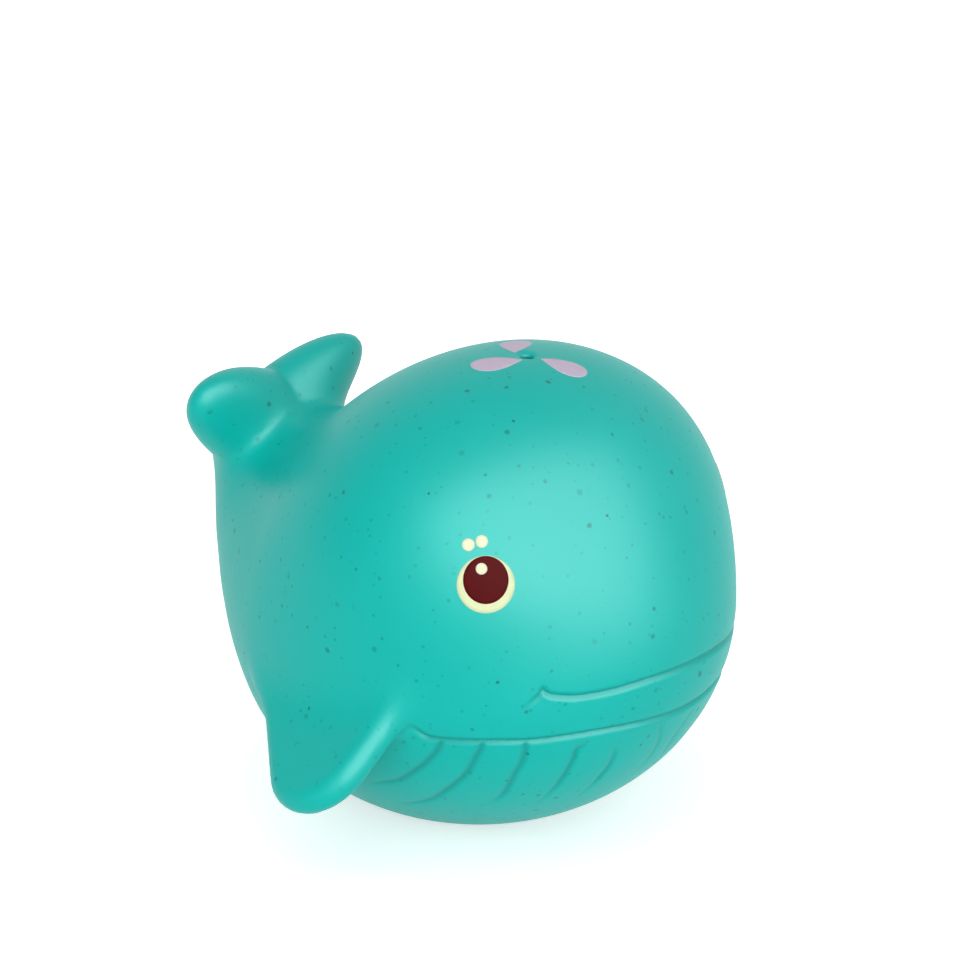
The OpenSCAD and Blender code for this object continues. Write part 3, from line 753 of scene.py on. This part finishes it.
def speck_group():
    """Specks in the plastic: a mask of soft round spots, one in some of the cells of a pattern."""
    tree = new_tree(
        "specks", "ShaderNodeTree",
        [("Vector", "NodeSocketVector")] + float_sockets("Cells per metre", "Radius", "Softness", "Share"),
        float_sockets("Mask"))
    n = Nodes(tree)
    given = n.add("NodeGroupInput").outputs
    # A little bend keeps the spots from being true circles
    wobble = n.noise(given["Vector"], 900.0, 1.0).outputs["Color"]
    bend = n.scaled(n.vector_math("SUBTRACT", wobble, (0.5, 0.5, 0.5)), 0.0003)
    moved = n.vector_math("ADD", given["Vector"], bend)
    cells = n.add("ShaderNodeTexVoronoi", {"Vector": moved, "Scale": given["Cells per metre"]})
    # Each cell's own colour says whether it has a spot, how large it is and how strong
    draw = n.add("ShaderNodeSeparateColor", {0: cells.outputs["Color"]}).outputs
    reach = n.times(given["Radius"], n.math("ADD", n.times(draw[1], 0.8), 0.35))
    spot = n.add("ShaderNodeMapRange", {
        "Value": cells.outputs["Distance"], "From Min": reach,
        "From Max": n.math("ADD", reach, given["Softness"]),
        "To Min": 1.0, "To Max": 0.0}, interpolation_type="SMOOTHSTEP")
    kept = n.math("LESS_THAN", draw[0], given["Share"])
    strength = n.math("ADD", n.times(draw[2], 0.6), 0.4)
    n.add("NodeGroupOutput", {0: n.times(spot.outputs[0], n.times(kept, strength))})
    return tree


def grain_group():
    """The fine texture that a mould or a print leaves: a height for a bump and a spread for the roughness."""
    tree = new_tree(
        "mould_grain", "ShaderNodeTree",
        [("Vector", "NodeSocketVector")] + float_sockets("Fineness", "Roughness", "Spread"),
        float_sockets("Height", "Roughness"))
    n = Nodes(tree)
    given = n.add("NodeGroupInput").outputs
    fine = n.noise(given["Vector"], given["Fineness"], 3.0).outputs[0]
    broad = n.noise(given["Vector"], 90.0, 2.0).outputs[0]
    spread = n.times(n.math("SUBTRACT", broad, 0.5), given["Spread"])
    n.add("NodeGroupOutput", {0: fine, 1: n.math("ADD", given["Roughness"], spread, clamp=True)})
    return tree


SPECKS = speck_group()
GRAIN = grain_group()


def linear(colour):
    """A colour as the shader takes it, from the value that a screen shows."""
    return tuple(c / 12.92 if c <= 0.04045 else ((c + 0.055) / 1.055) ** 2.4 for c in colour) + (1.0,)


def fresh_material(name):
    """A material with a bare shader, its nodes, and the place on the object that patterns follow."""
    material = bpy.data.materials.new(name)
    material.use_nodes = True
    material.node_tree.nodes.clear()
    n = Nodes(material.node_tree)
    shader = n.add("ShaderNodeBsdfPrincipled")
    n.add("ShaderNodeOutputMaterial", {0: shader.outputs[0]})
    place = n.add("ShaderNodeTexCoord").outputs["Object"]
    return material, n, shader, place


def add_grain(n, shader, place, fineness, roughness, spread, height, depth):
    grain = n.add("ShaderNodeGroup", node_tree=GRAIN)
    n.tree.links.new(place, grain.inputs["Vector"])
    grain.inputs["Fineness"].default_value = fineness
    grain.inputs["Roughness"].default_value = roughness
    grain.inputs["Spread"].default_value = spread
    bump = n.add("ShaderNodeBump", {"Height": grain.outputs["Height"], "Strength": height, "Distance": depth})
    n.tree.links.new(bump.outputs[0], shader.inputs["Normal"])
    n.tree.links.new(grain.outputs["Roughness"], shader.inputs["Roughness"])


def clouded(n, place, scale, dark, pale):
    """A colour that drifts between two."""
    return n.mixed_colour(n.noise(place, scale, 2.0).outputs[0], linear(dark), linear(pale))


def specked(n, place, under, colour, cells, radius, softness, share):
    """The colour under with one size of speck over it. Radius and softness are in cells of the pattern."""
    specks = n.add("ShaderNodeGroup", {
        "Vector": place, "Cells per metre": cells, "Radius": radius, "Softness": softness, "Share": share},
        node_tree=SPECKS)
    return n.mixed_colour(specks.outputs[0], under, linear(colour))


def whale_vinyl():
    material, n, shader, place = fresh_material("speckled_teal_vinyl")
    colour = clouded(n, place, 45.0, (0.0, 0.715, 0.675), (0.0, 0.745, 0.71))
    for speck, cells, radius, softness, share in (
            ((0.0, 0.61, 0.585), 540.0, 0.09, 0.12, 0.8),
            ((0.0, 0.54, 0.51), 310.0, 0.085, 0.09, 0.7),
            ((0.02, 0.36, 0.34), 230.0, 0.045, 0.035, 0.8)):
        colour = specked(n, place, colour, speck, cells, radius, softness, share)
    # Painted shade: the carved lines are made a little darker in colour
    crease = n.add("ShaderNodeAttribute", attribute_name="crease")
    shade = n.times(crease.outputs["Fac"], 0.75)
    n.tree.links.new(n.mixed_colour(shade, colour, linear((0.0, 0.59, 0.565))), shader.inputs["Base Color"])
    shader.inputs["Specular IOR Level"].default_value = 0.18
    add_grain(n, shader, place, fineness=2600.0, roughness=0.44, spread=0.05, height=0.05, depth=0.0002)
    return material


def printed(name, colour, roughness=0.55, gloss=0.1):
    """A pad print's ink."""
    material, n, shader, place = fresh_material(name)
    dark, pale = tuple(0.96 * c for c in colour), tuple(min(1, 1.03 * c) for c in colour)
    n.tree.links.new(clouded(n, place, 700.0, dark, pale), shader.inputs["Base Color"])
    shader.inputs["Specular IOR Level"].default_value = gloss
    add_grain(n, shader, place, fineness=3000.0, roughness=roughness, spread=0.05, height=0.05, depth=0.0001)
    return material


def squeaker_plastic(name, colour, roughness):
    material, n, shader, place = fresh_material(name)
    dark = tuple(0.95 * c for c in colour)
    n.tree.links.new(clouded(n, place, 300.0, dark, colour), shader.inputs["Base Color"])
    add_grain(n, shader, place, fineness=1500.0, roughness=roughness, spread=0.08, height=0.08, depth=0.0001)
    return material


# Materials
vinyl = whale_vinyl()
petal_print = printed("lilac_print", (0.82, 0.76, 0.845))
eye_cream = printed("cream_print", (0.885, 0.92, 0.735))
eye_brown = printed("brown_print", (0.34, 0.06, 0.07), roughness=0.5, gloss=0.02)
eye_pale = printed("pale_print", (0.925, 0.935, 0.8))
cup_plastic = squeaker_plastic("squeaker_plastic", (0.93, 0.93, 0.9), roughness=0.35)
reed_plastic = squeaker_plastic("reed_film", (0.78, 0.82, 0.84), roughness=0.2)

# The whale's skin and its prints
skin = build_whale_body()
skin.data.materials.append(vinyl)
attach(skin, "whale")
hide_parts("whale_body")

petals = build_petals(skin, petal_print)
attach(petals, "whale")
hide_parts("blowhole_petals")

EYE_WHITE = oval(EYE_WHITE_WIDTH, EYE_WHITE_WIDTH, LARGE_POINTS)
IRIS = oval(IRIS_WIDTH, IRIS_HEIGHT, LARGE_POINTS, IRIS_AT)
GLINT = oval(GLINT_WIDTH, GLINT_WIDTH, SMALL_POINTS, GLINT_AT)
BROW_DOTS = [oval(DOT_WIDTH, DOT_WIDTH, SMALL_POINTS, at) for at in (REAR_DOT_AT, FRONT_DOT_AT)]
IRIS_LEVEL = 2 * FILM_GAP + FILM
GLINT_LEVEL = 3 * FILM_GAP + 2 * FILM
for name, outlines, level, rings, material, slot in (
        ("eye_white", [EYE_WHITE], FILM_GAP, LARGE_RINGS, eye_cream, "eye_cream"),
        ("eye_iris", [IRIS], IRIS_LEVEL, LARGE_RINGS, eye_brown, "eye_brown"),
        ("eye_glint", [GLINT], GLINT_LEVEL, SMALL_RINGS, eye_pale, "eye_pale"),
        ("brow_dots", BROW_DOTS, FILM_GAP, SMALL_RINGS, eye_pale, "eye_pale")):
    for piece in build_print(name, outlines, level, rings):
        piece.data.materials.append(material)
        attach(piece, "whale")
        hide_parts(piece.name.replace("_film", ""))

# The squeaker's parts keep their CAD shapes
for node, material in (("squeaker_cup", cup_plastic), ("squeaker_reed_bed", cup_plastic),
                       ("squeaker_wedge", cup_plastic), ("squeaker_reed", reed_plastic)):
    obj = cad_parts[node]
    obj.data.materials.clear()
    obj.data.materials.append(material)

# The room, in metres: how far the floor reaches to the front and sides, where it starts to curve up behind
# the whale, the curve's radius and the wall's height
FLOOR_REACH, BEND_AWAY, BEND_R, WALL_TOP = 6.0, 0.9, 0.6, 3.0
# How strongly the floor glows where it is seen, which makes it white there
FLOOR_GLOW = 0.58


def floor_material():
    """A pale floor that takes the shadow, and shows white to the camera and in gleams."""
    material, n, shader, _ = fresh_material("pale_floor")
    shader.inputs["Base Color"].default_value = (0.86, 0.86, 0.86, 1)
    shader.inputs["Roughness"].default_value = 0.9
    shader.inputs["Specular IOR Level"].default_value = 0.1
    shader.inputs["Emission Color"].default_value = (1, 1, 1, 1)
    path = n.add("ShaderNodeLightPath").outputs
    mirrored = n.math("MAXIMUM", path["Is Glossy Ray"], path["Is Transmission Ray"])
    seen = n.math("MAXIMUM", path["Is Camera Ray"], mirrored)
    n.tree.links.new(n.times(seen, FLOOR_GLOW), shader.inputs["Emission Strength"])
    return material


def build_floor():
    """A floor that curves up behind the whale."""
    bend = [math.radians(90 * i / 24) for i in range(25)]
    rows = [(-FLOOR_REACH, 0.0)]
    rows += [(BEND_AWAY + BEND_R * math.sin(a), BEND_R - BEND_R * math.cos(a)) for a in bend]
    rows += [(BEND_AWAY + BEND_R, WALL_TOP)]
    # Away from the camera, and across the view
    away = Vector((-0.64, 0.77, 0))
    side = Vector((0.77, 0.64, 0))
    ends = (-FLOOR_REACH, FLOOR_REACH)
    points = [(away * d + side * s + Vector((0, 0, h))) / MM for d, h in rows for s in ends]
    faces = [(2 * i, 2 * i + 1, 2 * i + 3, 2 * i + 2) for i in range(len(rows) - 1)]
    floor = mesh_piece("floor", [tuple(p) for p in points], faces)
    smooth(floor)
    floor.data.materials.append(floor_material())


def aim(obj, at, target):
    obj.location = at
    obj.rotation_euler = (target - at).to_track_quat("-Z", "Y").to_euler()


def build_camera():
    """The photograph's camera, from the fit to its outline."""
    camera = bpy.data.objects.new("camera", bpy.data.cameras.new("camera"))
    bpy.context.scene.collection.objects.link(camera)
    camera.data.sensor_width = 36
    camera.data.sensor_height = 36
    camera.data.sensor_fit = "HORIZONTAL"
    camera.data.lens = 159.18
    camera.data.clip_end = 20
    aim(camera, Vector((394.83, -478.08, 259.66)) * MM, Vector((6.79, -0.45, 50.38)) * MM)
    bpy.context.scene.camera = camera


def softbox(name, azimuth, elevation, distance, size, level, lights=True, gleams=True):
    """A panel lamp at an angle from the nose, turned to the whale. Its level is how bright its face is. It
    lights the surfaces, or gleams in them, or does both."""
    a, e = math.radians(azimuth), math.radians(elevation)
    lamp = bpy.data.objects.new(name, bpy.data.lights.new(name, "AREA"))
    lamp.data.shape = "RECTANGLE"
    lamp.data.size, lamp.data.size_y = size
    lamp.data.energy = level * math.pi * size[0] * size[1]
    lamp.visible_diffuse = lights
    lamp.visible_glossy = gleams
    bpy.context.scene.collection.objects.link(lamp)
    middle = Vector((0, 0, 0.036))
    way = Vector((math.cos(e) * math.cos(a), math.cos(e) * math.sin(a), math.sin(e)))
    aim(lamp, middle + distance * way, middle)


def build_world(strength):
    world = bpy.data.worlds.new("room")
    world.use_nodes = True
    bpy.context.scene.world = world
    world.node_tree.nodes.clear()
    n = Nodes(world.node_tree)
    background = n.add("ShaderNodeBackground", {"Color": (1, 1, 1, 1), "Strength": strength})
    n.add("ShaderNodeOutputWorld", {0: background.outputs[0]})


build_floor()
build_camera()
softbox("front_panel", azimuth=-17, elevation=34, distance=1.0, size=(2.1, 1.3), level=8.6, lights=False)
softbox("low_gleam", azimuth=-16, elevation=3.5, distance=0.8, size=(0.9, 0.09), level=16.0, lights=False)
softbox("front_fill", azimuth=-38, elevation=42, distance=1.1, size=(2.3, 1.4), level=0.47, gleams=False)
softbox("low_fill", azimuth=-54, elevation=7, distance=0.9, size=(1.7, 0.3), level=2.3, gleams=False)
softbox("top_fill", azimuth=-100, elevation=72, distance=1.1, size=(1.3, 1.3), level=0.25, gleams=False)
softbox("rear_fill", azimuth=125, elevation=30, distance=1.2, size=(1.6, 1.2), level=0.42, gleams=False)
build_world(strength=0.45)
bpy.context.scene.view_settings.view_transform = "Standard"
